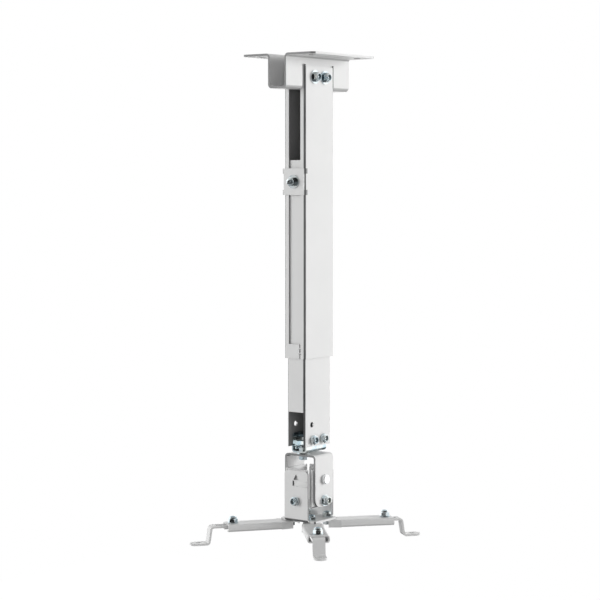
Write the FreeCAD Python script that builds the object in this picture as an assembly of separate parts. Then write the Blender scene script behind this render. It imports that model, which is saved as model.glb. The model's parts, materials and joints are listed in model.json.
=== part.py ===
import FreeCAD, Part
import math
import os
from FreeCAD import Placement, Rotation, Vector

# Projector ceiling mount: telescopic tube, swivel, two tilting yokes and four arms with sliding feet.
# Millimetres. Z is up, the ceiling is the plane Z = 0, X runs along the wide face of the tube.

# Clearances
run_gap = 0.3
turn_fit = 0.08
hole_clearance = 0.3
seat_gap = 0.2

# Screws of 5 mm
screw_shank = 5.0
screw_flats = 8.0
screw_head = 3.5
screw_nut = 5.0
screw_tip = 0.2
collar_share = 0.3
collar_size = 0.9
washer_sheet = 1.2
large_washer = 13.0
medium_washer = 11.0
small_washer = 10.0

# Outer tube: a lipped channel, open along a slot
tube_width = 46.0
tube_depth = 25.0
tube_wall = 1.5
tube_bend = 0.8
tube_length = 280.0
tube_drop = 11.0
slot_width = 14.0
tab_height = 14.0
tab_seam = 1.4

# Ceiling bracket
bracket_sheet = 2.0
bracket_length = 100.0
bracket_flange = 32.2
bracket_height = 33.0
bracket_bend = 2.0
bracket_corner = 5.0
bracket_slit_gap = 1.8
ceiling_hole = 8.0
ceiling_pitch_x = 72.0
ceiling_pitch_y = 60.0
top_bolt_pitch = 16.0
top_bolt_z = -21.0

# Inner tube
slide_gap = 0.5
inner_length = 276.2
inner_top_z = -100.5
window_height = 33.8
spare_hole = 5.2
spare_hole_rise = 21.2
spare_hole_x = -9.3
clamp_drop = 20.6

# Clamp on the slotted face
clamp_sheet = 1.2
clamp_height = 25.4
clamp_lug = 5.0
clamp_lug_reach = 2.0
clamp_bend = 0.8
clamp_bolt_tip = 3.8

# Swivel bracket in the end of the inner tube
swivel_sheet = 1.5
swivel_length = 32.0
swivel_height = 19.0
swivel_below = 6.1
swivel_bend = 1.5
swivel_corner = 4.0
swivel_x = -9.0
lower_bolt_pitch = 16.0
lower_bolt_rise = 6.4

# Yokes and the block between them
yoke_sheet = 2.0
yoke_bend = 1.8
upper_yoke_strap = 28.5
upper_yoke_width = 37.0
upper_yoke_height = 50.5
upper_yoke_corner = 8.0
stop_pin_shank = 6.0
stop_pin_head = 9.2
stop_pin_height = 3.4
stop_pin_chamfer = 0.4
stop_pin_rise = 20.5
tilt_rise = 5.8
block_sheet = 1.5
block_bend = 0.6
block_height = 36.8
block_drop = 6.3
block_flap_x = 32.4
block_flap_y = 24.0
block_gap = 0.4
lower_yoke_strap = 28.0
lower_yoke_width = 41.5
lower_yoke_height = 50.0
lower_yoke_corner = 4.0
base_drop = 20.4
base_length = 36.0
base_width = 42.0
base_corner = 2.0
arrow_width = 6.4
arrow_head = 5.4
arrow_stem_width = 2.2
arrow_stem = 5.2
arrow_bridge = 0.8
arrow_drop = 3.8
arrow_stem_shift = 3.2

# Arms and feet; the foot follows the length of the arm
arm_pivot_x = 12.5
arm_pivot_y = 12.5
arm_width = 21.0
arm_height = 7.2
arm_sheet = 1.2
arm_bend = 1.2
arm_lip = 4.0
arm_length = 65.3
arm_tongue = 8.0
arm_shoulder = 12.0
foot_bolt_inset = 7.0
foot_sheet = 2.0
foot_bend = 1.5
foot_width = 12.0
foot_start = 20.0
foot_reach = 15.5
foot_drop_run = 2.5
foot_drop = 16.0
foot_toe = 17.5
foot_hole = 5.0
foot_hole_inset = 8.5
foot_toe_round = 5.9
foot_slot_round = 2.7
foot_slot_margin = 4.0
foot_slot_inset = 5.0
left_arm_angle = 36.0
right_arm_angle = 40.0
front_arm_angle = 43.0
right_foot_inset = 6.5
front_foot_inset = 14.0

# Heights that follow from the sizes above
tube_top_z = -tube_drop
tube_bottom_z = tube_top_z - tube_length
inner_bottom_z = inner_top_z - inner_length
clamp_z = inner_top_z - clamp_drop
swivel_bottom_z = inner_bottom_z - swivel_below
lower_bolt_z = inner_bottom_z + lower_bolt_rise
yoke_top_z = swivel_bottom_z - washer_sheet - 2 * seat_gap
yoke_end_z = yoke_top_z - upper_yoke_height
pivot_z = yoke_end_z + tilt_rise
base_z = pivot_z - base_drop
arm_top_z = base_z - run_gap
foot_top_z = arm_top_z - arm_sheet - run_gap

# Widths that follow
inner_width = tube_width - 2 * tube_wall - 2 * slide_gap
inner_depth = tube_depth - 2 * tube_wall - 2 * slide_gap
bracket_width = tube_depth - 2 * tube_wall - 2 * seat_gap
swivel_width = inner_depth - 2 * tube_wall - 2 * seat_gap
block_x = lower_yoke_width - 2 * yoke_sheet - 2 * block_gap
block_y = upper_yoke_width - 2 * yoke_sheet - 2 * block_gap

# Stations along the arm from its pivot
foot_bolt_at = arm_length - foot_bolt_inset
foot_drop_at = arm_length + foot_reach
foot_tip = foot_drop_at + foot_drop_run + foot_toe
foot_hole_at = foot_tip - foot_hole_inset
foot_slot_start = foot_start + foot_slot_margin
foot_slot_end = foot_drop_at - foot_slot_inset

# Directions: a section is drawn flat and drawn out along one axis of the mount
along_x = Rotation(Vector(0, 1, 0), Vector(0, 0, 1), Vector(1, 0, 0), "XYZ")
along_y = Rotation(Vector(1, 0, 0), Vector(0, 0, 1), Vector(0, -1, 0), "XYZ")
along_z = Rotation()


# Section of a folded sheet: straight runs along the middle of the sheet, rounded at each corner
def folded_face(path, sheet, inner_bend):
    points = [Vector(u, v, 0) for u, v in path]
    runs = [(after - before).normalize() for before, after in zip(points, points[1:])]
    normals = [Vector(-run.y, run.x, 0) for run in runs]
    middle_bend = inner_bend + sheet / 2

    def side(offset):
        edges = []
        start = points[0] + normals[0] * offset
        for index in range(1, len(points) - 1):
            before, after = runs[index - 1], runs[index]
            turn = before.cross(after).z
            left = math.copysign(1, turn)
            setback = middle_bend * math.tan(before.getAngle(after) / 2)
            bend_start = points[index] - before * setback
            bend_end = points[index] + after * setback
            centre = bend_start + normals[index - 1] * left * middle_bend
            outward = (points[index] - centre).normalize()
            first = bend_start + normals[index - 1] * offset
            middle = centre + outward * (middle_bend - left * offset)
            last = bend_end + normals[index] * offset
            edges.append(Part.makeLine(start, first))
            edges.append(Part.Arc(first, middle, last).toShape())
            start = last
        end = points[-1] + normals[-1] * offset
        edges.append(Part.makeLine(start, end))
        return edges, points[0] + normals[0] * offset, end

    left_edges, left_start, left_end = side(sheet / 2)
    right_edges, right_start, right_end = side(-sheet / 2)
    caps = [Part.makeLine(left_end, right_end), Part.makeLine(left_start, right_start)]
    return Part.Face(Part.Wire(Part.sortEdges(left_edges + right_edges + caps)[0]))


# A flat face drawn out by a length, turned to its direction and centred or started there
def drawn_out(face, length, direction, start=0.0):
    solid = face.extrude(Vector(0, 0, length))
    solid.translate(Vector(0, 0, start))
    solid.Placement = Placement(Vector(), direction).multiply(solid.Placement)
    return solid


def rounded_rectangle(width, height, radius, centre=(0.0, 0.0)):
    plane = Part.makePlane(width, height, Vector(centre[0] - width / 2, centre[1] - height / 2, 0))
    return round_corners(plane, radius)


# Corners of a flat polygon, rounded by opening it with a disc: inset, then offset with arcs
def round_corners(face, radius):
    inset = face.makeOffset2D(-radius, 2)
    return inset.makeOffset2D(radius, 0)


def box_between(low, high):
    size = Vector(*high) - Vector(*low)
    return Part.makeBox(size.x, size.y, size.z, Vector(*low))


def hole(diameter, length, centre, axis):
    direction = Vector(*axis)
    base = Vector(*centre) - direction * (length / 2)
    return Part.makeCylinder(diameter / 2, length, base, direction)


def hexagon(flats):
    corner = flats / math.sqrt(3)
    angles = [math.radians(60 * side + 30) for side in range(7)]
    return Part.Face(Part.makePolygon([Vector(corner * math.cos(a), corner * math.sin(a), 0) for a in angles]))


# Screws stand on Z = 0 with the shank along +Z and the head below
def hex_bolt(shank, flats, head, length):
    head_solid = hexagon(flats).extrude(Vector(0, 0, -head))
    return head_solid.fuse(Part.makeCylinder(shank / 2, length)).removeSplitter()


# Locking nut on Z = 0: hexagon below, round collar above
def lock_nut(shank, flats, height):
    collar = height * collar_share
    body = hexagon(flats).extrude(Vector(0, 0, height - collar))
    ring = Part.makeCylinder(flats * collar_size / 2, collar, Vector(0, 0, height - collar))
    bore = Part.makeCylinder(shank / 2, height)
    return body.fuse(ring).removeSplitter().cut(bore)


def washer(outer, shank):
    disc = Part.makeCylinder(outer / 2, washer_sheet)
    return disc.cut(Part.makeCylinder(shank / 2 + hole_clearance, washer_sheet))


# A copy moved to a place, with its +Z turned to an axis
def placed(solid, place, axis):
    copy = solid.copy()
    copy.Placement = Placement(Vector(*place), Rotation(Vector(0, 0, 1), Vector(*axis)))
    return copy


def ceiling_bracket():
    sheet_half = bracket_sheet / 2
    wall = bracket_width / 2 - sheet_half
    edge = bracket_width / 2 + bracket_flange
    floor = -bracket_height + sheet_half
    path = [(-edge, -sheet_half), (-wall, -sheet_half), (-wall, floor),
            (wall, floor), (wall, -sheet_half), (edge, -sheet_half)]
    face = folded_face(path, bracket_sheet, bracket_bend)
    solid = drawn_out(face, bracket_length, along_x, -bracket_length / 2)
    plan = rounded_rectangle(bracket_length, 2 * edge, bracket_corner)
    solid = solid.common(drawn_out(plan, bracket_height, along_z, -bracket_height))
    for side in (-1, 1):
        slit_centre = side * (tube_width - tube_wall) / 2
        slit_half = tube_wall / 2 + bracket_slit_gap
        low = (slit_centre - slit_half, -bracket_width / 2, -bracket_height)
        high = (slit_centre + slit_half, bracket_width / 2, tube_top_z + bracket_slit_gap)
        solid = solid.cut(box_between(low, high))
        bolt_x = side * top_bolt_pitch / 2
        solid = solid.cut(hole(screw_shank + 2 * hole_clearance, tube_depth, (bolt_x, 0, top_bolt_z), (0, 1, 0)))
        for across in (-1, 1):
            place = (side * ceiling_pitch_x / 2, across * ceiling_pitch_y / 2, -sheet_half)
            solid = solid.cut(hole(ceiling_hole, 2 * bracket_sheet, place, (0, 0, 1)))
    return solid


def outer_tube():
    x = (tube_width - tube_wall) / 2
    y = (tube_depth - tube_wall) / 2
    slot_far = slot_width / 2
    slot_near = -slot_width / 2
    path = [(-x, slot_far), (-x, y), (x, y), (x, -y), (-x, -y), (-x, slot_near)]
    face = folded_face(path, tube_wall, tube_bend)
    solid = drawn_out(face, tube_length, along_z, tube_bottom_z)
    tab_low = (-tube_width / 2, slot_near + tab_seam, tube_bottom_z)
    tab_high = (-tube_width / 2 + tube_wall, slot_far, tube_bottom_z + tab_height)
    solid = solid.fuse(box_between(tab_low, tab_high)).removeSplitter()
    for side in (-1, 1):
        place = (side * top_bolt_pitch / 2, 0, top_bolt_z)
        solid = solid.cut(hole(screw_shank + 2 * hole_clearance, 2 * tube_depth, place, (0, 1, 0)))
    return solid


# Two bolts along -Y through the tube and the bracket, with their washers and nuts
def top_screws():
    reach = tube_depth / 2 + washer_sheet
    length = 2 * reach + screw_nut + screw_tip
    bolts, washers, nuts = [], [], []
    for side in (-1, 1):
        x = side * top_bolt_pitch / 2
        bolts.append(placed(hex_bolt(screw_shank, screw_flats, screw_head, length), (x, reach, top_bolt_z), (0, -1, 0)))
        nuts.append(placed(lock_nut(screw_shank, screw_flats, screw_nut), (x, -reach, top_bolt_z), (0, -1, 0)))
        for face in (-1, 1):
            place = (x, face * tube_depth / 2, top_bolt_z)
            washers.append(placed(washer(large_washer, screw_shank), place, (0, face, 0)))
    return bolts, washers, nuts


def inner_tube():
    outer = rounded_rectangle(inner_width, inner_depth, tube_bend + tube_wall)
    bore = rounded_rectangle(inner_width - 2 * tube_wall, inner_depth - 2 * tube_wall, tube_bend)
    solid = drawn_out(outer.cut(bore), inner_length, along_z, inner_bottom_z)
    window_half = inner_depth / 2 - tube_wall
    window_low = (-inner_width / 2, -window_half, inner_bottom_z)
    window_high = (-inner_width / 2 + tube_wall + tube_bend, window_half, inner_bottom_z + window_height)
    solid = solid.cut(box_between(window_low, window_high))
    spare_place = (spare_hole_x, 0, inner_bottom_z + spare_hole_rise)
    solid = solid.cut(hole(spare_hole, 2 * inner_depth, spare_place, (0, 1, 0)))
    bolt_hole = screw_shank + 2 * hole_clearance
    for side in (-1, 1):
        place = (side * lower_bolt_pitch / 2, 0, lower_bolt_z)
        solid = solid.cut(hole(bolt_hole, 2 * inner_depth, place, (0, 1, 0)))
    return solid.cut(hole(bolt_hole, 4 * tube_wall, (-inner_width / 2, 0, clamp_z), (1, 0, 0)))


def clamp_plate():
    sheet_half = clamp_sheet / 2
    x = tube_width / 2 + run_gap + sheet_half
    y = tube_depth / 2 + run_gap + sheet_half
    lug_end = -tube_width / 2 + clamp_lug_reach
    path = [(lug_end, y), (-x, y), (-x, -y), (lug_end, -y)]
    face = folded_face(path, clamp_sheet, clamp_bend)
    solid = drawn_out(face, clamp_height, along_z, clamp_z - clamp_height / 2)
    notch = clamp_height / 2 - clamp_lug
    plate_back = -x + sheet_half
    for side in (-1, 1):
        bend_start = tube_depth / 2 + run_gap - clamp_bend
        near, far = sorted((side * bend_start, side * (y + sheet_half)))
        low = (-x - sheet_half, near, clamp_z - notch)
        high = (lug_end, far, clamp_z + notch)
        solid = solid.cut(box_between(low, high))
    return solid.cut(hole(screw_shank + 2 * hole_clearance, 4 * clamp_sheet, (plate_back, 0, clamp_z), (1, 0, 0)))


# Bolt from inside the inner tube, out through the slot to a washer and a nut
def clamp_screw():
    head_x = -inner_width / 2 + tube_wall
    plate_x = -tube_width / 2 - run_gap - clamp_sheet
    nut_x = plate_x - washer_sheet
    length = head_x - nut_x + screw_nut + clamp_bolt_tip
    bolt = placed(hex_bolt(screw_shank, screw_flats, screw_head, length), (head_x, 0, clamp_z), (-1, 0, 0))
    ring = placed(washer(large_washer, screw_shank), (plate_x, 0, clamp_z), (-1, 0, 0))
    nut = placed(lock_nut(screw_shank, screw_flats, screw_nut), (nut_x, 0, clamp_z), (-1, 0, 0))
    return bolt, ring, nut


def swivel_bracket():
    sheet_half = swivel_sheet / 2
    y = swivel_width / 2 - sheet_half
    top = swivel_bottom_z + swivel_height
    floor = swivel_bottom_z + sheet_half
    face = folded_face([(-y, top), (-y, floor), (y, floor), (y, top)], swivel_sheet, swivel_bend)
    solid = drawn_out(face, swivel_length, along_x, -swivel_length / 2)
    side_view = rounded_rectangle(swivel_length, 2 * swivel_height, swivel_corner, (0, swivel_bottom_z))
    solid = solid.common(drawn_out(side_view, swivel_width, along_y, -swivel_width / 2))
    for side in (-1, 1):
        place = (side * lower_bolt_pitch / 2, 0, lower_bolt_z)
        solid = solid.cut(hole(screw_shank + 2 * hole_clearance, 2 * swivel_width, place, (0, 1, 0)))
    pivot = hole(screw_shank + 2 * hole_clearance, 4 * swivel_sheet, (swivel_x, 0, floor), (0, 0, 1))
    return solid.cut(pivot)


def lower_screws():
    reach = inner_depth / 2
    length = 2 * reach + screw_nut + screw_tip
    bolts, nuts = [], []
    for side in (-1, 1):
        x = side * lower_bolt_pitch / 2
        bolts.append(placed(hex_bolt(screw_shank, screw_flats, screw_head, length), (x, reach, lower_bolt_z), (0, -1, 0)))
        nuts.append(placed(lock_nut(screw_shank, screw_flats, screw_nut), (x, -reach, lower_bolt_z), (0, -1, 0)))
    return bolts, nuts


# Vertical pivot: head under the upper yoke, nut on the floor of the swivel bracket
def swivel_screw():
    head_z = yoke_top_z - yoke_sheet - run_gap
    nut_z = swivel_bottom_z + swivel_sheet
    length = nut_z + screw_nut - head_z
    bolt = placed(hex_bolt(screw_shank, screw_flats, screw_head, length), (swivel_x, 0, head_z), (0, 0, 1))
    ring = placed(washer(large_washer, screw_shank), (swivel_x, 0, yoke_top_z + seat_gap), (0, 0, 1))
    nut = placed(lock_nut(screw_shank, screw_flats, screw_nut), (swivel_x, 0, nut_z), (0, 0, 1))
    return bolt, ring, nut


def upper_yoke():
    sheet_half = yoke_sheet / 2
    y = upper_yoke_width / 2 - sheet_half
    top = yoke_top_z - sheet_half
    face = folded_face([(-y, yoke_end_z), (-y, top), (y, top), (y, yoke_end_z)], yoke_sheet, yoke_bend)
    solid = drawn_out(face, upper_yoke_strap, along_x, -upper_yoke_strap / 2)
    side_view = rounded_rectangle(upper_yoke_strap, 2 * upper_yoke_height, upper_yoke_corner, (0, yoke_top_z))
    solid = solid.common(drawn_out(side_view, upper_yoke_width, along_y, -upper_yoke_width / 2))
    through = 2 * upper_yoke_width
    solid = solid.cut(hole(stop_pin_shank, through, (0, 0, pivot_z + stop_pin_rise), (0, 1, 0)))
    solid = solid.cut(hole(screw_shank + 2 * hole_clearance, through, (0, 0, pivot_z), (0, 1, 0)))
    return solid.cut(hole(screw_shank + 2 * turn_fit, 4 * yoke_sheet, (swivel_x, 0, top), (0, 0, 1)))


# Plain round pins pressed into both walls of the upper yoke, heads outside
def stop_pins():
    rim = stop_pin_head / 2
    straight = stop_pin_height - stop_pin_chamfer
    edge = Part.makeCone(rim, rim - stop_pin_chamfer, stop_pin_chamfer, Vector(0, 0, straight))
    shank = Part.makeCylinder(stop_pin_shank / 2, yoke_sheet, Vector(0, 0, -yoke_sheet))
    pin = Part.makeCylinder(rim, straight).multiFuse([edge, shank]).removeSplitter()
    wall = upper_yoke_width / 2
    height = pivot_z + stop_pin_rise
    return [placed(pin, (0, side * wall, height), (0, side, 0)) for side in (-1, 1)]


# Box folded up from a cross of sheet: a floor and four flaps, open at the corners, each with a pivot hole
def cross_block():
    sheet_half = block_sheet / 2
    floor = pivot_z - block_drop + sheet_half
    top = pivot_z - block_drop + block_height
    strips = []
    for width, flap, direction in ((block_y, block_flap_x, along_x), (block_x, block_flap_y, along_y)):
        wall = width / 2 - sheet_half
        face = folded_face([(-wall, top), (-wall, floor), (wall, floor), (wall, top)], block_sheet, block_bend)
        strips.append(drawn_out(face, flap, direction, -flap / 2))
    solid = strips[0].fuse(strips[1]).removeSplitter()
    pivot_hole = screw_shank + 2 * turn_fit
    for axis in ((1, 0, 0), (0, 1, 0)):
        solid = solid.cut(hole(pivot_hole, 2 * block_x, (0, 0, pivot_z), axis))
    return solid


# Short pivot bolts from inside the block, one through each of two facing walls of a yoke
def pivot_screws(block_width, yoke_width, axis, washer_size):
    direction = Vector(*axis)
    washer_step = washer_sheet if washer_size else 0.0
    head_at = block_width / 2 - block_sheet - run_gap
    nut_at = yoke_width / 2 + washer_step
    length = nut_at - head_at + screw_nut + screw_tip
    centre = Vector(0, 0, pivot_z)
    bolts, washers, nuts = [], [], []
    for side in (-1, 1):
        out = direction * side
        bolt = hex_bolt(screw_shank, screw_flats, screw_head, length)
        bolts.append(placed(bolt, centre + out * head_at, out))
        nuts.append(placed(lock_nut(screw_shank, screw_flats, screw_nut), centre + out * nut_at, out))
        if washer_size:
            washers.append(placed(washer(washer_size, screw_shank), centre + out * (yoke_width / 2), out))
    return bolts, washers, nuts


# Arrow cut through a wall: a triangle above a short stem
def arrow_cutter(top_z):
    cut_start = -lower_yoke_width / 2 - yoke_sheet / 2
    base = top_z - arrow_head
    stem_top = base - arrow_bridge
    stem_low = arrow_stem_shift - arrow_stem_width / 2
    stem_high = arrow_stem_shift + arrow_stem_width / 2
    head = [(-arrow_width / 2, base), (arrow_width / 2, base), (0, top_z)]
    stem = [(stem_low, stem_top - arrow_stem), (stem_high, stem_top - arrow_stem),
            (stem_high, stem_top), (stem_low, stem_top)]
    cutters = []
    for corners in (head, stem):
        outline = [Vector(u, v, 0) for u, v in corners + corners[:1]]
        cutters.append(drawn_out(Part.Face(Part.makePolygon(outline)), 2 * yoke_sheet, along_x, cut_start))
    return Part.makeCompound(cutters)


def lower_yoke():
    sheet_half = yoke_sheet / 2
    x = lower_yoke_width / 2 - sheet_half
    top = base_z + lower_yoke_height
    floor = base_z + sheet_half
    face = folded_face([(-x, top), (-x, floor), (x, floor), (x, top)], yoke_sheet, yoke_bend)
    solid = drawn_out(face, lower_yoke_strap, along_y, -lower_yoke_strap / 2)
    side_view = rounded_rectangle(lower_yoke_strap, 2 * lower_yoke_height, lower_yoke_corner, (0, base_z))
    solid = solid.common(drawn_out(side_view, lower_yoke_width, along_x, -lower_yoke_width / 2))
    wings = drawn_out(rounded_rectangle(base_length, base_width, base_corner), yoke_sheet, along_z, base_z)
    strap_low = (-base_length, -lower_yoke_strap / 2, base_z)
    strap_high = (base_length, lower_yoke_strap / 2, base_z + yoke_sheet)
    solid = solid.fuse(wings.cut(box_between(strap_low, strap_high))).removeSplitter()
    pivot_hole = hole(screw_shank + 2 * hole_clearance, 2 * lower_yoke_width, (0, 0, pivot_z), (1, 0, 0))
    solid = solid.cut(pivot_hole).cut(arrow_cutter(top - arrow_drop))
    for x_side, y_side in arm_sides.values():
        place = (x_side * arm_pivot_x, y_side * arm_pivot_y, floor)
        solid = solid.cut(hole(screw_shank + 2 * hole_clearance, 4 * yoke_sheet, place, (0, 0, 1)))
    return solid


# Pivots of the arms: head in the arm's channel, nut on the base plate
def arm_pivot_screws():
    head_z = arm_top_z - arm_sheet - run_gap
    nut_z = base_z + yoke_sheet
    length = nut_z + screw_nut + screw_tip - head_z
    bolts, nuts = [], []
    for x_side, y_side in arm_sides.values():
        x, y = x_side * arm_pivot_x, y_side * arm_pivot_y
        bolts.append(placed(hex_bolt(screw_shank, screw_flats, screw_head, length), (x, y, head_z), (0, 0, 1)))
        nuts.append(placed(lock_nut(screw_shank, screw_flats, screw_nut), (x, y, nut_z), (0, 0, 1)))
    return bolts, nuts


# Arm along +X from its pivot at the origin, with its top on Z = 0; its root narrows to a round tongue
def arm_channel():
    sheet_half = arm_sheet / 2
    half = arm_width / 2
    y = half - sheet_half
    lip = y - arm_lip
    low = -arm_height + sheet_half
    path = [(-lip, low), (-y, low), (-y, -sheet_half), (y, -sheet_half), (y, low), (lip, low)]
    face = folded_face(path, arm_sheet, arm_bend)
    solid = drawn_out(face, arm_length - arm_shoulder, along_x, arm_shoulder)
    corners = [(0, -arm_tongue), (arm_shoulder, -half), (arm_shoulder, half), (0, arm_tongue)]
    root = Part.Face(Part.makePolygon([Vector(u, v, 0) for u, v in corners + corners[:1]]))
    tongue = Part.Face(Part.Wire([Part.makeCircle(arm_tongue)]))
    plate = drawn_out(root.fuse(tongue).removeSplitter(), arm_sheet, along_z, -arm_sheet)
    solid = solid.fuse(plate)
    for side in (-1, 1):
        wall = [(0, side * arm_tongue), (arm_shoulder, side * half),
                (arm_shoulder, side * (half - arm_sheet)), (0, side * (arm_tongue - arm_sheet))]
        strip = Part.Face(Part.makePolygon([Vector(u, v, 0) for u, v in wall + wall[:1]]))
        solid = solid.fuse(drawn_out(strip, arm_height, along_z, -arm_height))
    solid = solid.removeSplitter()
    solid = solid.cut(hole(screw_shank + 2 * turn_fit, 4 * arm_sheet, (0, 0, 0), (0, 0, 1)))
    return solid.cut(hole(screw_shank + 2 * hole_clearance, 4 * arm_sheet, (foot_bolt_at, 0, 0), (0, 0, 1)))


# Foot along +X: slotted strip in the channel, a drop beyond its end and a rounded toe with a hole
def foot_strip():
    level = foot_top_z - arm_top_z - foot_sheet / 2
    path = [(foot_start, level), (foot_drop_at, level),
            (foot_drop_at + foot_drop_run, level - foot_drop), (foot_tip, level - foot_drop)]
    face = folded_face(path, foot_sheet, foot_bend)
    solid = drawn_out(face, foot_width, along_y, -foot_width / 2)
    strip_length = foot_tip - foot_start
    plan = rounded_rectangle(2 * strip_length, foot_width, foot_toe_round, (foot_tip - strip_length, 0))
    solid = solid.common(drawn_out(plan, 2 * foot_drop, along_z, level + foot_sheet - 2 * foot_drop))
    slot_across = screw_shank + 2 * hole_clearance
    slot_length = foot_slot_end - foot_slot_start
    slot_middle = (foot_slot_end + foot_slot_start) / 2
    slot = rounded_rectangle(slot_length, slot_across, foot_slot_round, (slot_middle, 0))
    solid = solid.cut(drawn_out(slot, 2 * foot_sheet, along_z, level - foot_sheet))
    return solid.cut(hole(foot_hole, 2 * foot_sheet, (foot_hole_at, 0, level - foot_drop), (0, 0, 1)))


# Bolt from below the strip, washer and nut on top of the arm
def foot_screw():
    head_z = foot_top_z - arm_top_z - foot_sheet - run_gap
    length = washer_sheet + screw_nut + screw_tip - head_z
    bolt = placed(hex_bolt(screw_shank, screw_flats, screw_head, length), (foot_bolt_at, 0, head_z), (0, 0, 1))
    ring = placed(washer(small_washer, screw_shank), (foot_bolt_at, 0, 0), (0, 0, 1))
    nut = placed(lock_nut(screw_shank, screw_flats, screw_nut), (foot_bolt_at, 0, washer_sheet), (0, 0, 1))
    return bolt, ring, nut


# Arms by name, with the signs of their pivot's X and Y
arm_sides = {"front": (-1, -1), "left": (-1, 1), "right": (1, -1), "back": (1, 1)}
foot_insets = {"front": front_foot_inset, "right": right_foot_inset}
arm_angles = {"front": front_arm_angle, "left": left_arm_angle, "right": right_arm_angle, "back": front_arm_angle}


# A piece drawn along +X, turned to its arm's rest angle and set under its pivot
def on_arm(solid, name):
    x_side, y_side = arm_sides[name]
    angle = arm_angles[name]
    heading = math.degrees(math.atan2(y_side * math.sin(math.radians(angle)), x_side * math.cos(math.radians(angle))))
    turn = Rotation(Vector(0, 0, 1), heading)
    place = Vector(x_side * arm_pivot_x, y_side * arm_pivot_y, arm_top_z)
    copy = solid.copy()
    copy.Placement = Placement(place, turn).multiply(copy.Placement)
    return copy


def all_nodes():
    nodes = {"ceiling_bracket": ceiling_bracket(), "outer_tube": outer_tube()}
    nodes["top_bolts"], nodes["top_washers"], nodes["top_nuts"] = top_screws()
    nodes["inner_tube"] = inner_tube()
    nodes["clamp_plate"] = clamp_plate()
    nodes["clamp_bolt"], nodes["clamp_washer"], nodes["clamp_nut"] = clamp_screw()
    nodes["swivel_bracket"] = swivel_bracket()
    nodes["lower_bolts"], nodes["lower_nuts"] = lower_screws()
    nodes["swivel_bolt"], nodes["swivel_washer"], nodes["swivel_nut"] = swivel_screw()
    nodes["upper_yoke"] = upper_yoke()
    nodes["stop_pins"] = stop_pins()
    nodes["cross_block"] = cross_block()
    tilt = pivot_screws(block_y, upper_yoke_width, (0, 1, 0), medium_washer)
    nodes["tilt_bolts"], nodes["tilt_washers"], nodes["tilt_nuts"] = tilt
    nodes["lower_yoke"] = lower_yoke()
    nodes["roll_bolts"], _, nodes["roll_nuts"] = pivot_screws(block_x, lower_yoke_width, (1, 0, 0), 0.0)
    nodes["arm_pivot_bolts"], nodes["arm_pivot_nuts"] = arm_pivot_screws()
    arm, foot = arm_channel(), foot_strip()
    bolt, ring, nut = foot_screw()
    for name in arm_sides:
        pieces = {"arm": arm, "foot": foot, "foot_bolt": bolt, "foot_washer": ring, "foot_nut": nut}
        pieces["foot"] = foot.translated(Vector(-foot_insets.get(name, 0.0), 0, 0))
        for piece, solid in pieces.items():
            nodes[f"{name}_{piece}"] = on_arm(solid, name)
    return nodes


os.makedirs("parts", exist_ok=True)
for node, shape in all_nodes().items():
    if isinstance(shape, list):
        shape = Part.makeCompound(shape)
    shape.exportStep(f"parts/{node}.step")
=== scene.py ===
import json
import math

import bmesh
import bpy
from mathutils import Matrix, Vector


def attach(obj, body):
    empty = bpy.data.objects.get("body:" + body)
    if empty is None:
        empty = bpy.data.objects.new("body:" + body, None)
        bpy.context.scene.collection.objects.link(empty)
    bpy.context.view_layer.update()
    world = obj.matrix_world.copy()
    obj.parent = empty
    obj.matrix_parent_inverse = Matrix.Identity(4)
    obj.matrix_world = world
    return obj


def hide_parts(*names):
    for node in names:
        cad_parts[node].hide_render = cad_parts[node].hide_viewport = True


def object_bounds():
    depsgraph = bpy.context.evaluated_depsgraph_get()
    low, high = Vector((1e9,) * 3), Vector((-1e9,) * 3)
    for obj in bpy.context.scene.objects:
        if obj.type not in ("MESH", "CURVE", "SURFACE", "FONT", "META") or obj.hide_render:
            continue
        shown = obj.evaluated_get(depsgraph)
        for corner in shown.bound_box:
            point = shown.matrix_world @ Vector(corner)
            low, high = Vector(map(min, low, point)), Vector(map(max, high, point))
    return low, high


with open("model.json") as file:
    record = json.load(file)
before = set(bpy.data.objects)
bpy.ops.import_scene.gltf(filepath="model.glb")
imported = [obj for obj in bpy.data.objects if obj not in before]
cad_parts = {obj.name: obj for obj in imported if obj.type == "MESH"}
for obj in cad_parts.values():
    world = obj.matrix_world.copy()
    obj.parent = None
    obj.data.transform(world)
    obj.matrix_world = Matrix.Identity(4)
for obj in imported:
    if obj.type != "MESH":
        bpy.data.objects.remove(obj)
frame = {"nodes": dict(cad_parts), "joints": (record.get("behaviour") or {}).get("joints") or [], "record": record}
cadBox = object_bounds()
nodes = frame["nodes"]
heldNodes = frame["record"]["behaviour"]["bodies"]
bodyOf = {node: body for body, held in heldNodes.items() for node in held}
mm = 0.001


# Node maths: a socket that can be used in Python expressions
class Sock:
    def __init__(self, desk, socket):
        self.desk = desk
        self.socket = socket

    def maths(self, operation, first, second):
        return self.desk.node("ShaderNodeMath", {"operation": operation}, {0: first, 1: second})

    def __add__(self, other):
        return self.maths("ADD", self, other)

    def __radd__(self, other):
        return self.maths("ADD", other, self)

    def __sub__(self, other):
        return self.maths("SUBTRACT", self, other)

    def __rsub__(self, other):
        return self.maths("SUBTRACT", other, self)

    def __mul__(self, other):
        return self.maths("MULTIPLY", self, other)

    def __rmul__(self, other):
        return self.maths("MULTIPLY", other, self)

    def __truediv__(self, other):
        return self.maths("DIVIDE", self, other)

    def __rtruediv__(self, other):
        return self.maths("DIVIDE", other, self)

    def __gt__(self, other):
        return self.maths("GREATER_THAN", self, other)

    def __lt__(self, other):
        return self.maths("LESS_THAN", self, other)

    def atLeast(self, other):
        return self.maths("MAXIMUM", self, other)

    def atMost(self, other):
        return self.maths("MINIMUM", self, other)


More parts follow.
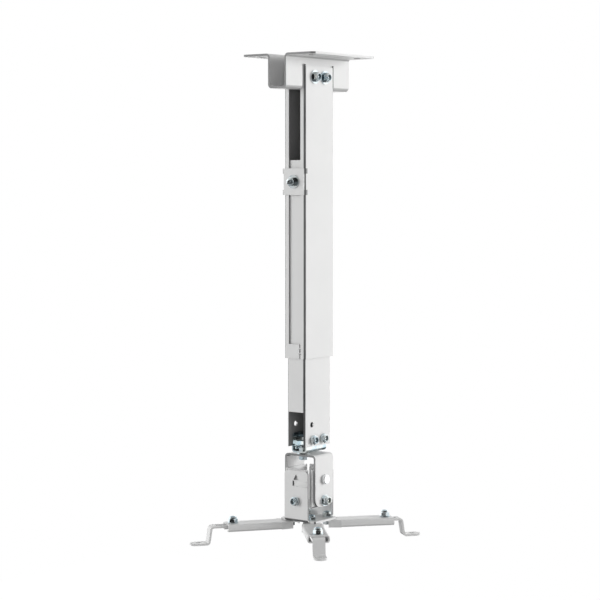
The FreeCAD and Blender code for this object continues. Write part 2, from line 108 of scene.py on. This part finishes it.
# One desk for each node tree; every node is made here
class NodeDesk:
    def __init__(self, tree, prefix):
        self.tree = tree
        self.prefix = prefix
        tree.nodes.clear()

    def node(self, kind, settings=None, inputs=None, output=0):
        made = self.tree.nodes.new(kind if "Node" in kind else self.prefix + kind)
        for name, value in (settings or {}).items():
            if name == "stops":
                self.setStops(made.color_ramp, value)
            else:
                setattr(made, name, value)
        for key, value in (inputs or {}).items():
            if isinstance(value, Sock):
                self.tree.links.new(value.socket, made.inputs[key])
            else:
                made.inputs[key].default_value = value
        return Sock(self, made.outputs[output]) if len(made.outputs) else made

    def split(self, vector):
        parts = self.node("ShaderNodeSeparateXYZ", {}, {"Vector": vector}).socket.node.outputs
        return [Sock(self, parts[axis]) for axis in "XYZ"]

    def mixed(self, share, first, second):
        ends = [end if isinstance(end, Sock) else (*end, 1.0) for end in (first, second)]
        return self.node("ShaderNodeMix", {"data_type": "RGBA"}, {0: share, 6: ends[0], 7: ends[1]}, 2)

    def noise(self, place, scale, detail, roughness=0.5):
        return self.node("ShaderNodeTexNoise", {}, {"Vector": place, "Scale": scale, "Detail": detail,
                                                    "Roughness": roughness}, "Fac")

    def ranged(self, value, source, target, smooth="LINEAR"):
        return self.node("ShaderNodeMapRange", {"interpolation_type": smooth},
                         {"Value": value, "From Min": source[0], "From Max": source[1],
                          "To Min": target[0], "To Max": target[1]})

    # Several parts into one socket that takes many links
    def gathered(self, kind, settings, entry, parts):
        made = self.node(kind, settings)
        for part in parts:
            self.tree.links.new(part.socket, made.socket.node.inputs[entry])
        return made

    def setStops(self, ramp, stops):
        while len(ramp.elements) < len(stops):
            ramp.elements.new(0.5)
        for element, (place, colour) in zip(ramp.elements, stops):
            element.position = place
            element.color = (*colour, 1.0)


def grey(value):
    return (value, value, value)


def startMaterial(name):
    material = bpy.data.materials.new(name)
    material.use_nodes = True
    return material, NodeDesk(material.node_tree, "ShaderNode")


# White powder coat on folded steel: faint orange peel and uneven gloss, with painted shade on folds and cut edges,
# painted shade on the inward faces of the tubes, bracket and clamp, and painted light on those of the lower yoke
# and cross block
whiteCoat = {
    "pale": (0.80, 0.80, 0.795), "shaded": (0.755, 0.757, 0.755), "worn": (0.50, 0.505, 0.51),
    # Painted shade: the fold colour darkens folds that do not face up, standing in for bends turned away from the
    # lamps
    "paintedFoldShade": (0.07, 0.072, 0.074), "foldRange": (0.985, 0.93), "foldBelow": 0.2, "foldLeast": 0.75,
    # Painted shade: the edge colour darkens the cut edges, standing in for outlines and shadow along them
    "edge": (0.18, 0.182, 0.185), "edgeFacing": 0.3, "edgeLeast": 0.7, "patches": 0.3,
    "inwardFrom": -0.0005, "cloudScale": 26.0, "cloudDetail": 3.0,
    "peelScale": 700.0, "peelDetail": 2.0, "peelDepth": 0.00005, "peelStrength": 0.3,
    "rubScale": 140.0, "rubDetail": 5.0, "rubRoughness": 0.7, "rubRange": (0.66, 0.80), "rubMost": 0.35,
    "gloss": 0.42, "glossSpread": 0.16, "rubGloss": 0.2, "coat": 0.08, "coatGloss": 0.2,
}

# One coat for each way of folding. turn is the heading of the flat sides in degrees, edgeAxis the axis that the
# cut edges with painted shade face, from edgeFrom on along edgeAlong, foldShare the share of painted fold shade,
# and the inward colour the shade of the faces that look inward: painted shade where it lies below the pale coat,
# painted light where it lies above it.
plainKind = {"turn": 0.0, "edgeAxis": 2, "edgeAlong": 2, "edgeFrom": 0.0, "inside": 0.78, "foldShare": 1.0}
coatKinds = {
    "sheetCoat": {"edgeAxis": 0, "edgeFrom": -1.0, "inside": 0.62, "foldShare": 0.42},
    # tubeCoat: dark painted shade on the inward faces of the tubes
    "tubeCoat": {"edgeFrom": -1.0, "inside": 0.34},
    # clampCoat: painted shade from the edge mask on the lugs that reach round the tube's corner
    "clampCoat": {"edgeAxis": 1, "edgeAlong": 0, "edgeFrom": -0.0231, "inside": 0.5},
    "upperYokeCoat": {"edgeAxis": 0, "edgeFrom": -1.0, "inside": 0.80},
    # blockCoat and lowerYokeCoat: inward faces paler than the pale coat, which is painted light in their shaded
    # hollows
    "blockCoat": {"inside": 0.93},
    "lowerYokeCoat": {"edgeAxis": 1, "edgeFrom": -0.447, "inside": 0.93},
    "plainCoat": {},
    "armCoat": {"turn": 48.0, "foldShare": 0.2},
}


def makeWhiteCoat(name, changes):
    kind = {**plainKind, **changes}
    material, desk = startMaterial(name)
    place = desk.node("TexCoord", output="Object")
    facing = Sock(desk, place.socket.node.outputs["Normal"])
    turned = desk.node("VectorRotate", {"rotation_type": "Z_AXIS"},
                       {"Vector": facing, "Angle": -math.radians(kind["turn"])})
    sides = [side.maths("ABSOLUTE", side, 0.0) for side in desk.split(turned)]
    flat = sides[0].atLeast(sides[1]).atLeast(sides[2])
    spot = desk.split(place)
    nx, ny, nz = desk.split(facing)
    # Painted shade mask: folds that do not face up
    paintedFoldShade = desk.ranged(flat, whiteCoat["foldRange"], (0.0, 1.0)) * (nz < whiteCoat["foldBelow"])
    # Painted shade mask: cut edges that face along edgeAxis, from edgeFrom on
    edge = (sides[kind["edgeAxis"]] > whiteCoat["edgeFacing"]) * (spot[kind["edgeAlong"]] > kind["edgeFrom"])
    # Faces that look inward, towards the middle: painted shade in the tubes, bracket and clamp, and painted light
    # in the lower yoke and cross block
    inward = nx * spot[0] + ny * spot[1] < whiteCoat["inwardFrom"]
    cloud = desk.noise(place, whiteCoat["cloudScale"], whiteCoat["cloudDetail"])
    peel = desk.noise(place, whiteCoat["peelScale"], whiteCoat["peelDetail"])
    rub = desk.noise(place, whiteCoat["rubScale"], whiteCoat["rubDetail"], whiteCoat["rubRoughness"])
    rubbed = desk.ranged(rub, whiteCoat["rubRange"], (0.0, whiteCoat["rubMost"]), "SMOOTHSTEP")
    patchy = cloud * whiteCoat["patches"]
    colour = desk.mixed(cloud, whiteCoat["pale"], whiteCoat["shaded"])
    colour = desk.mixed(rubbed, colour, whiteCoat["worn"])
    # Painted light and shade on the inward faces
    colour = desk.mixed(inward, colour, grey(kind["inside"]))
    # Painted shade on the cut edges
    colour = desk.mixed(edge * (whiteCoat["edgeLeast"] + patchy), colour, whiteCoat["edge"])
    # Painted shade on the folds, laid over the coat colour
    colour = desk.mixed(paintedFoldShade * (whiteCoat["foldLeast"] + patchy) * kind["foldShare"], colour, whiteCoat["paintedFoldShade"])
    gloss = whiteCoat["gloss"] + (cloud - 0.5) * whiteCoat["glossSpread"] + rubbed * whiteCoat["rubGloss"]
    bump = desk.node("Bump", {}, {"Height": peel, "Strength": whiteCoat["peelStrength"],
                                  "Distance": whiteCoat["peelDepth"]})
    skin = desk.node("BsdfPrincipled", {}, {"Base Color": colour, "Roughness": gloss, "Normal": bump,
                                            "Coat Weight": whiteCoat["coat"],
                                            "Coat Roughness": whiteCoat["coatGloss"]})
    desk.node("OutputMaterial", {}, {"Surface": skin})
    return material


# Bright zinc plate: a blue tint that turns pale and then faintly yellow in places, and paler on the pins
zincPlate = {"stops": (0.30, 0.52, 0.78), "tintScale": 110.0, "tintDetail": 2.0, "spangleScale": 420.0,
             "gloss": 0.13, "glossSpread": 0.08, "bumpStrength": 0.10, "bumpDepth": 0.00004}
zincTints = {
    "blueZincPlate": ((0.48, 0.60, 0.66), (0.72, 0.78, 0.80), (0.70, 0.71, 0.66)),
    "paleZincPlate": ((0.76, 0.78, 0.79), (0.86, 0.87, 0.87), (0.84, 0.84, 0.82)),
}


def makeZincPlate(name, tints):
    material, desk = startMaterial(name)
    place = desk.node("TexCoord", output="Object")
    tint = desk.noise(place, zincPlate["tintScale"], zincPlate["tintDetail"])
    spangle = desk.node("TexVoronoi", {}, {"Vector": place, "Scale": zincPlate["spangleScale"]}, "Color")
    shade = desk.node("SeparateColor", {}, {"Color": spangle}, "Red")
    stops = list(zip(zincPlate["stops"], tints))
    colour = desk.node("ValToRGB", {"stops": stops}, {"Fac": tint}, "Color")
    gloss = zincPlate["gloss"] + shade * zincPlate["glossSpread"]
    bump = desk.node("Bump", {}, {"Height": tint, "Strength": zincPlate["bumpStrength"],
                                  "Distance": zincPlate["bumpDepth"]})
    skin = desk.node("BsdfPrincipled", {}, {"Base Color": colour, "Roughness": gloss, "Metallic": 1.0,
                                            "Normal": bump})
    desk.node("OutputMaterial", {}, {"Surface": skin})
    return material


# Coat of each slot of the record, and of the nodes that differ from their slot
coatOfSlot = {"white_paint": "armCoat", "zinc_plate": "blueZincPlate"}
coatOf = {"ceiling_bracket": "sheetCoat", "outer_tube": "tubeCoat", "inner_tube": "tubeCoat",
          "clamp_plate": "clampCoat", "upper_yoke": "upperYokeCoat", "cross_block": "blockCoat",
          "lower_yoke": "lowerYokeCoat", "stop_pins": "paleZincPlate"}
coats = {name: makeWhiteCoat(name, changes) for name, changes in coatKinds.items()}
coats.update({name: makeZincPlate(name, tints) for name, tints in zincTints.items()})
for subpart in frame["record"]["subparts"]:
    node = subpart["node"]
    slots = nodes[node].data.materials
    slots.clear()
    slots.append(coats[coatOf.get(node, coatOfSlot[subpart["material_slot"]])])
print("finishes:", ", ".join(coats))


# Geometry Nodes: a new tree with named number inputs and one mesh of points as its Geometry
def startTree(name, sizes):
    tree = bpy.data.node_groups.new(name, "GeometryNodeTree")
    tree.interface.new_socket("Geometry", in_out="INPUT", socket_type="NodeSocketGeometry")
    for size in sizes:
        tree.interface.new_socket(size, in_out="INPUT", socket_type="NodeSocketFloat")
    tree.interface.new_socket("Geometry", in_out="OUTPUT", socket_type="NodeSocketGeometry")
    desk = NodeDesk(tree, "GeometryNode")
    entry = tree.nodes.new("NodeGroupInput")
    return tree, desk, {socket.name: Sock(desk, socket) for socket in entry.outputs if socket.name}


def shifted(desk, geometry, height):
    lift = desk.node("ShaderNodeCombineXYZ", {}, {"Z": height})
    return desk.node("Transform", {}, {"Geometry": geometry, "Translation": lift})


# Hexagon about Z = 0, its upper rim turned off by a cone as on a machined head
hexagon = {"sides": 6, "rimShare": 0.475, "slope": 30.0, "coneSteps": 36, "spare": 1.002}


def turnedHexagon(desk, flats, height):
    block = desk.node("MeshCylinder", {"fill_type": "NGON"},
                      {"Vertices": hexagon["sides"], "Radius": flats * (1 / math.sqrt(3)), "Depth": height})
    block = desk.node("Transform", {}, {"Geometry": block, "Rotation": (0.0, 0.0, math.radians(30))})
    rim = flats * hexagon["rimShare"]
    spread = height * (1 / math.tan(math.radians(hexagon["slope"])))
    cone = desk.node("MeshCone", {"fill_type": "NGON"},
                     {"Vertices": hexagon["coneSteps"], "Radius Top": rim, "Radius Bottom": rim + spread,
                      "Depth": height * hexagon["spare"]})
    cone = shifted(desk, cone, height * -0.5)
    return desk.gathered("MeshBoolean", {"operation": "INTERSECT", "solver": "EXACT"}, "Mesh 2", (block, cone))


def placeCopies(desk, entry, geometry, material):
    turn = desk.node("InputNamedAttribute", {"data_type": "FLOAT_VECTOR"}, {"Name": "turn"}, "Attribute")
    spin = desk.node("FunctionNodeEulerToRotation", {}, {"Euler": turn})
    copies = desk.node("InstanceOnPoints", {},
                       {"Points": entry["Geometry"], "Instance": geometry, "Rotation": spin})
    real = desk.node("RealizeInstances", {}, {"Geometry": copies})
    painted = desk.node("SetMaterial", {}, {"Geometry": real, "Material": material})
    leave = desk.tree.nodes.new("NodeGroupOutput")
    desk.tree.links.new(painted.socket, leave.inputs["Geometry"])


# Hexagon bolt along +Z: turned head, plain shank and a rolled thread that runs up to a pointed tip.
# The tip lies below the rim of its nut by tipSunk, for all but the long clamp bolt.
boltSizes = {"Flats": 8.0, "Head": 3.5, "Shank": 5.0, "Pitch": 0.8, "Depth": 0.42, "Thread": 9.0,
             "Point": 1.5, "Taper": 1.8}
boltSteps = {"around": 24, "perPitch": 4.0}
tipSunk = 1.4
leastPlain = 0.5


def makeBoltTree():
    tree, desk, entry = startTree("hexBolt", [*boltSizes, "Length"])
    head = turnedHexagon(desk, entry["Flats"], entry["Head"])
    head = desk.node("Transform", {}, {"Geometry": head, "Rotation": (math.pi, 0.0, 0.0)})
    head = shifted(desk, head, entry["Head"] * -0.5)
    radius = entry["Shank"] * 0.5
    plainLength = entry["Length"] - entry["Thread"]
    plain = desk.node("MeshCylinder", {"fill_type": "NGON"},
                      {"Vertices": boltSteps["around"], "Radius": radius - entry["Depth"] * 0.5,
                       "Depth": plainLength})
    plain = shifted(desk, plain, plainLength * 0.5)
    rows = entry["Thread"] * boltSteps["perPitch"] / entry["Pitch"]
    thread = desk.node("MeshCylinder", {"fill_type": "NGON"},
                       {"Vertices": boltSteps["around"], "Side Segments": rows, "Radius": radius,
                        "Depth": entry["Thread"]})
    x, y, z = desk.split(desk.node("InputPosition"))
    around = x.maths("ARCTAN2", y, x) * (1 / math.tau)
    wave = z.maths("PINGPONG", z / entry["Pitch"] + around, 0.5) * 2.0
    tipEnd = entry["Thread"] * 0.5
    tip = desk.ranged(z, (tipEnd - entry["Point"], tipEnd), (0.0, entry["Taper"]))
    share = 1.0 - (wave * entry["Depth"]).atLeast(tip) / radius
    across = desk.node("ShaderNodeCombineXYZ", {}, {"X": x * share, "Y": y * share, "Z": z})
    thread = desk.node("SetPosition", {}, {"Geometry": thread, "Position": across})
    thread = shifted(desk, thread, plainLength + entry["Thread"] * 0.5)
    whole = desk.gathered("JoinGeometry", {}, "Geometry", (head, plain, thread))
    placeCopies(desk, entry, whole, coats["blueZincPlate"])
    return tree


# Locking nut along +Z: turned hexagon, then a rolled collar round the end of the bolt
nutSizes = {"Flats": 8.0, "Height": 5.0, "Collar": 1.7, "Rim": 3.7, "Wall": 1.1, "Roll": 0.45}
nutSteps = {"around": 32, "roll": 4}


def makeNutTree():
    tree, desk, entry = startTree("lockNut", nutSizes)
    blockHeight = entry["Height"] - entry["Collar"]
    body = shifted(desk, turnedHexagon(desk, entry["Flats"], blockHeight), blockHeight * 0.5)
    path = desk.node("CurvePrimitiveCircle", {"mode": "RADIUS"},
                     {"Resolution": nutSteps["around"], "Radius": entry["Rim"] - entry["Wall"] * 0.5}, "Curve")
    sunk = entry["Collar"] + entry["Roll"]
    profile = desk.node("CurvePrimitiveQuadrilateral", {"mode": "RECTANGLE"},
                        {"Width": entry["Wall"], "Height": sunk}, "Curve")
    profile = desk.node("FilletCurve", {"mode": "POLY"},
                        {"Curve": profile, "Radius": entry["Roll"], "Count": nutSteps["roll"],
                         "Limit Radius": True})
    collar = desk.node("CurveToMesh", {}, {"Curve": path, "Profile Curve": profile})
    collar = shifted(desk, collar, entry["Height"] - sunk * 0.5)
    whole = desk.gathered("JoinGeometry", {}, "Geometry", (body, collar))
    placeCopies(desk, entry, whole, coats["blueZincPlate"])
    return tree


# Each solid of a node, as the corner points of a merged copy
def solidsOf(node):
    copy = bmesh.new()
    copy.from_mesh(nodes[node].data)
    bmesh.ops.remove_doubles(copy, verts=copy.verts, dist=1e-6)
    left = set(copy.verts)
    solids = []
    for start in copy.verts:
        if start not in left:
            continue
        left.remove(start)
        reached = [start]
        for corner in reached:
            for edge in corner.link_edges:
                other = edge.other_vert(corner)
                if other in left:
                    left.remove(other)
                    reached.append(other)
        solids.append([corner.co.copy() for corner in reached])
    copy.free()
    return solids


# Axis of each set of screws; out means away from the middle on both sides
screwAxes = {"top": (0, -1, 0), "clamp": (-1, 0, 0), "lower": (0, -1, 0), "swivel": (0, 0, 1),
             "tilt": "outY", "roll": "outX", "arm_pivot": (0, 0, 1),
             "front_foot": (0, 0, 1), "left_foot": (0, 0, 1), "right_foot": (0, 0, 1), "back_foot": (0, 0, 1)}
slideHeading = {joint["name"]: Vector(joint["axis"]) for joint in frame["joints"]}


def screwAxis(group, middle):
    way = screwAxes[group]
    if way == "outX":
        return Vector((math.copysign(1, middle.x), 0, 0))
    if way == "outY":
        return Vector((0, math.copysign(1, middle.y), 0))
    return Vector(way)


# Foot of each screw or nut of a node, the turn that brings +Z to its axis, and its length
def screwPlaces(node, group):
    spots, turns, spans = [], [], []
    heading = slideHeading.get(f"{group}_slide", Vector((1, 0, 0)))
    for corners in solidsOf(node):
        low = Vector(min(corner[i] for corner in corners) for i in range(3))
        high = Vector(max(corner[i] for corner in corners) for i in range(3))
        middle = (low + high) / 2
        axis = screwAxis(group, middle)
        reach = [corner.dot(axis) for corner in corners]
        turn = Vector((0, 0, 1)).rotation_difference(axis).to_matrix()
        turns.append(turn @ Matrix.Rotation(math.atan2(heading.y, heading.x), 3, "Z"))
        spots.append(middle + axis * (min(reach) - middle.dot(axis)))
        spans.append(max(reach) - min(reach))
    return spots, turns, spans[0]


# Point mesh with one point for each copy, moved along its own axis by lift
def pointMesh(node, spots, turns, lift):
    mesh = bpy.data.meshes.new(node + "Points")
    mesh.from_pydata([spot + turn @ Vector((0, 0, lift)) for spot, turn in zip(spots, turns)], [], [])
    turnData = mesh.attributes.new("turn", "FLOAT_VECTOR", "POINT").data
    for item, turn in zip(turnData, turns):
        item.vector = Vector(turn.to_euler())
    return mesh


# Runs a tree on a point mesh and keeps the result as one plain mesh on the node's body
screwSmooth = math.radians(28)


def dressNode(node, mesh, tree, sizes):
    piece = bpy.data.objects.new(node + "Dressed", mesh)
    bpy.context.scene.collection.objects.link(piece)
    modifier = piece.modifiers.new("dress", "NODES")
    modifier.node_group = tree
    for socket in tree.interface.items_tree:
        if socket.in_out == "INPUT" and socket.name in sizes:
            modifier[socket.identifier] = sizes[socket.name] * mm
    seen = bpy.context.evaluated_depsgraph_get()
    made = bpy.data.meshes.new_from_object(piece.evaluated_get(seen), depsgraph=seen)
    piece.modifiers.remove(modifier)
    piece.data = made
    made.shade_smooth()
    made.set_sharp_from_angle(angle=screwSmooth)
    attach(piece, bodyOf[node])
    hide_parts(node)


boltTree = makeBoltTree()
nutTree = makeNutTree()
for group in screwAxes:
    ending = "" if group in ("clamp", "swivel") or group.endswith("foot") else "s"
    node = f"{group}_bolt{ending}"
    spots, turns, span = screwPlaces(node, group)
    length = span / mm - boltSizes["Head"] - (0.0 if group == "clamp" else tipSunk)
    thread = min(boltSizes["Thread"], length - leastPlain)
    mesh = pointMesh(node, spots, turns, boltSizes["Head"] * mm)
    dressNode(node, mesh, boltTree, {**boltSizes, "Length": length, "Thread": thread})
    node = f"{group}_nut{ending}"
    spots, turns, span = screwPlaces(node, group)
    dressNode(node, pointMesh(node, spots, turns, 0.0), nutTree, nutSizes)
print("bolts and nuts dressed:", len(screwAxes), "sets")


# Closed skin over rings of points, from the first ring to the last
def skinRings(mesh, rings):
    count = len(rings[0])
    for low, high in zip(rings, rings[1:]):
        for step in range(count):
            after = (step + 1) % count
            mesh.faces.new((low[step], low[after], high[after], high[step]))
    mesh.faces.new(rings[0][::-1])
    mesh.faces.new(rings[-1])


pieceSmooth = math.radians(50)


def keepPiece(name, mesh, body, coat):
    bmesh.ops.recalc_face_normals(mesh, faces=mesh.faces)
    data = bpy.data.meshes.new(name)
    mesh.to_mesh(data)
    mesh.free()
    data.materials.append(coat)
    data.shade_smooth()
    data.set_sharp_from_angle(angle=pieceSmooth)
    piece = bpy.data.objects.new(name, data)
    bpy.context.scene.collection.objects.link(piece)
    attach(piece, body)


# Tack welds that hold the folded bottom tab of the outer tube: low crowned beads on its slotted face.
# profile gives each ring's share of the outline and its share of the height.
tackWelds = {"x": -23.0, "y": -6.3, "heights": (-281.2, -285.9), "length": 3.4, "width": 1.5, "proud": 0.35,
             "steps": 20, "ripple": 0.06, "ripples": 5, "ripplePhase": 900,
             "profile": ((1.0, -0.4), (1.0, 0.0), (0.86, 0.55), (0.55, 0.88), (0.2, 1.0))}


def makeTackWelds():
    mesh = bmesh.new()
    for height in tackWelds["heights"]:
        place = Vector((tackWelds["x"], tackWelds["y"], height))
        phase = place.z * mm * tackWelds["ripplePhase"]
        rings = []
        for share, rise in tackWelds["profile"]:
            ring = []
            for step in range(tackWelds["steps"]):
                angle = math.tau * step / tackWelds["steps"]
                ripple = 1 + tackWelds["ripple"] * math.sin(angle * tackWelds["ripples"] + phase)
                across = math.cos(angle) * tackWelds["length"] / 2 * share * ripple
                along = math.sin(angle) * tackWelds["width"] / 2 * share
                ring.append(mesh.verts.new((place + Vector((-rise * tackWelds["proud"], across, along))) * mm))
            rings.append(ring)
        skinRings(mesh, rings)
    keepPiece("tackWelds", mesh, bodyOf["outer_tube"], coats["plainCoat"])


# Lanced strip on the wall of the lower yoke: a shallow pad with sloped edges, sunk a little into the wall
lanceStrip = {"x": -20.75, "y": (-13.4, -0.4), "z": (-415.2, -409.4), "proud": 0.2, "edge": 0.45, "sunk": 0.3}


def makeLanceStrip():
    mesh = bmesh.new()
    lowY, highY = lanceStrip["y"]
    lowZ, highZ = lanceStrip["z"]
    rings = []
    for inset, out in ((0.0, -lanceStrip["sunk"]), (0.0, 0.0), (lanceStrip["edge"], lanceStrip["proud"])):
        corners = [(lowY + inset, lowZ + inset), (highY - inset, lowZ + inset),
                   (highY - inset, highZ - inset), (lowY + inset, highZ - inset)]
        rings.append([mesh.verts.new(Vector((lanceStrip["x"] - out, y, z)) * mm) for y, z in corners])
    skinRings(mesh, rings)
    keepPiece("lanceStrip", mesh, bodyOf["lower_yoke"], coats["plainCoat"])


makeTackWelds()
makeLanceStrip()
print("tack welds and lanced strip made")


# Camera on the photograph's station: nearly level, with a small shift, so the verticals stay upright
photoView = {"azimuth": -52.5, "distance": 1.7743, "height": -0.1196, "aside": 0.0088, "pitch": 2.805,
             "focalPixels": 1833.8, "framePixels": 600.0, "shift": -0.05, "sensor": 36.0}


def setCamera():
    turn = math.radians(photoView["azimuth"])
    ahead = Vector((-math.sin(turn), math.cos(turn), 0))
    right = Vector((math.cos(turn), math.sin(turn), 0))
    up = Vector((0, 0, 1))
    data = bpy.data.cameras.new("photoCamera")
    data.sensor_width = photoView["sensor"]
    data.lens = photoView["focalPixels"] * photoView["sensor"] / photoView["framePixels"]
    data.shift_y = photoView["shift"]
    camera = bpy.data.objects.new("photoCamera", data)
    camera.location = up * photoView["height"] - ahead * photoView["distance"] - right * photoView["aside"]
    camera.rotation_euler = (math.radians(90 - photoView["pitch"]), 0, turn)
    bpy.context.scene.collection.objects.link(camera)
    bpy.context.scene.camera = camera


# Two soft boxes, one before each wide side of the tubes, and weak ones from the front, behind and above
lampAim = Vector((0, 0, -0.24))
softBoxes = {
    "keyBox": {"azimuth": 305.0, "height": 0.4, "distance": 2.9, "size": 1.3, "power": 57.5},
    "fillBox": {"azimuth": 145.0, "height": 0.4, "distance": 2.9, "size": 1.3, "power": 36.0},
    "frontBox": {"azimuth": 222.0, "height": 0.3, "distance": 2.4, "size": 0.9, "power": 2.0},
    "backBox": {"azimuth": 45.0, "height": 0.5, "distance": 3.0, "size": 1.3, "power": 15.0},
    "topBox": {"azimuth": 230.0, "height": 2.2, "distance": 0.9, "size": 1.2, "power": 1.5},
}


def setLights():
    for name, box in softBoxes.items():
        data = bpy.data.lights.new(name, "AREA")
        data.shape = "SQUARE"
        data.size = box["size"]
        data.energy = box["power"]
        lamp = bpy.data.objects.new(name, data)
        lamp.visible_glossy = False
        turn = math.radians(box["azimuth"])
        heading = Vector((math.cos(turn), math.sin(turn), 0))
        lamp.location = lampAim + heading * box["distance"] + Vector((0, 0, box["height"]))
        lamp.rotation_euler = (lampAim - lamp.location).to_track_quat("-Z", "Y").to_euler()
        bpy.context.scene.collection.objects.link(lamp)


# White to the camera. Reflections see a white backdrop behind the mount and a dim room on the near side,
# and the soft light is weaker from overhead.
studio = {"ambient": 0.54, "overhead": 0.22, "overheadRange": (0.1, 0.8),
          "room": 0.015, "backdrop": 1.5, "backdropRange": (-0.8, 0.35)}
paleFloor = {"drop": 0.75, "reach": 2.6, "shade": 0.6, "glow": 1.07, "glowShare": 0.94, "mirror": 0.12}


# One for rays that should see white, straight or through a gap, and one for mirrored rays
def rayKinds(desk):
    seen = desk.node("LightPath", output="Is Camera Ray")
    kinds = seen.socket.node.outputs
    through = Sock(desk, kinds["Is Transmission Ray"])
    return (seen + through).atMost(1.0), Sock(desk, kinds["Is Glossy Ray"])


def setWorld():
    world = bpy.data.worlds.new("whiteStudio")
    world.use_nodes = True
    bpy.context.scene.world = world
    desk = NodeDesk(world.node_tree, "ShaderNode")
    white, mirrored = rayKinds(desk)
    x, y, z = desk.split(desk.node("TexCoord", output="Generated"))
    turn = math.radians(photoView["azimuth"])
    depth = x * -math.sin(turn) + y * math.cos(turn)
    around = desk.ranged(depth, studio["backdropRange"], (studio["room"], studio["backdrop"]), "SMOOTHSTEP")
    soft = desk.ranged(z, studio["overheadRange"], (studio["ambient"], studio["overhead"]), "SMOOTHSTEP")
    strength = white + mirrored * around + (1.0 - white - mirrored) * soft
    back = desk.node("Background", {}, {"Color": (*grey(1.0), 1.0), "Strength": strength})
    desk.node("OutputWorld", {}, {"Surface": back})


def setFloor():
    reach, level = paleFloor["reach"], cadBox[0].z - paleFloor["drop"]
    corners = [(-reach, -reach, level), (reach, -reach, level), (reach, reach, level), (-reach, reach, level)]
    mesh = bpy.data.meshes.new("paleFloor")
    mesh.from_pydata(corners, [], [(0, 1, 2, 3)])
    floor = bpy.data.objects.new("paleFloor", mesh)
    bpy.context.scene.collection.objects.link(floor)
    material, desk = startMaterial("palePaper")
    white, mirrored = rayKinds(desk)
    share = (white + mirrored).atMost(1.0) * paleFloor["glowShare"]
    paper = desk.node("BsdfDiffuse", {}, {"Color": (*grey(paleFloor["shade"]), 1.0)})
    glow = desk.node("Emission", {}, {"Color": (*grey(1.0), 1.0),
                                      "Strength": white * paleFloor["glow"] + mirrored * paleFloor["mirror"]})
    mixed = desk.node("MixShader", {}, {0: share, 1: paper, 2: glow})
    desk.node("OutputMaterial", {}, {"Surface": mixed})
    mesh.materials.append(material)


setCamera()
setLights()
setWorld()
setFloor()
bpy.context.scene.view_settings.view_transform = "Standard"
print("camera, lights and floor set")
